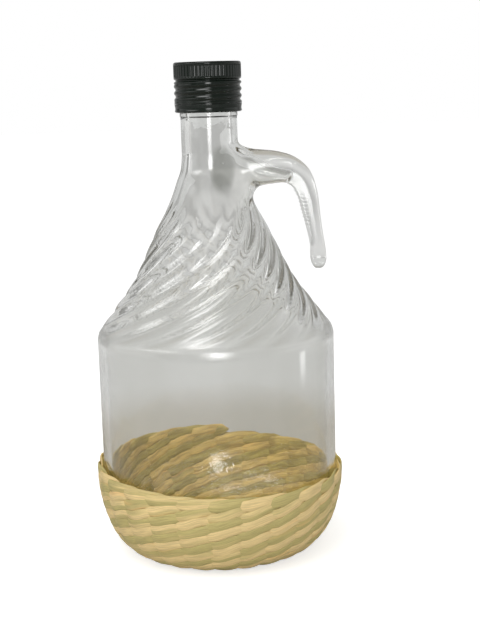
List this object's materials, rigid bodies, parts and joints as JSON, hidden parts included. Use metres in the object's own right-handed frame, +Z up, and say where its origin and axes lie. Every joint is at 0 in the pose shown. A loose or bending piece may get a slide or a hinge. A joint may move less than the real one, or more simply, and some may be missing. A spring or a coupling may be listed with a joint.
{
  "type": "wicker demijohn",
  "caption": "Clear glass bottle with spiral ribs on its cone and a hook handle, closed by a screw cap and seated in a low twined basket.",
  "frame": {"origin": "centre of the basket's underside, on the bottle's axis", "axes": "+Z up along the bottle's axis, +X towards the handle"},
  "size_m": [0.1196, 0.1194, 0.2332],
  "materials": {
    "clear_glass": "clear, polished",
    "black_cap": "gloss lacquer on rolled aluminium sheet",
    "liner": "matte foam",
    "straw": "natural straw, satin"
  },
  "bodies": {
    "bottle": {"glass_bottle": "clear_glass", "tamper_band": "black_cap", "basket_wall": "straw", "basket_top_row": "straw", "basket_base": "straw"},
    "liner": {"cap_liner": "liner"},
    "cap": {"cap_shell": "black_cap"}
  },
  "joints": [
    {"name": "cap_rise", "type": "slide", "parent": "bottle", "child": "liner", "axis": [0, 0, 1], "range_m": [0, 0.0254]},
    {"name": "cap_turn", "type": "hinge", "parent": "liner", "child": "cap", "pos_m": [0, 0, 0.2306], "axis": [0, 0, 1], "range_deg": [0, 2880]}
  ],
  "couplings": [
    {"joint": "cap_rise", "follows": "cap_turn", "m_per_rad": 0.0005053}
  ]
}
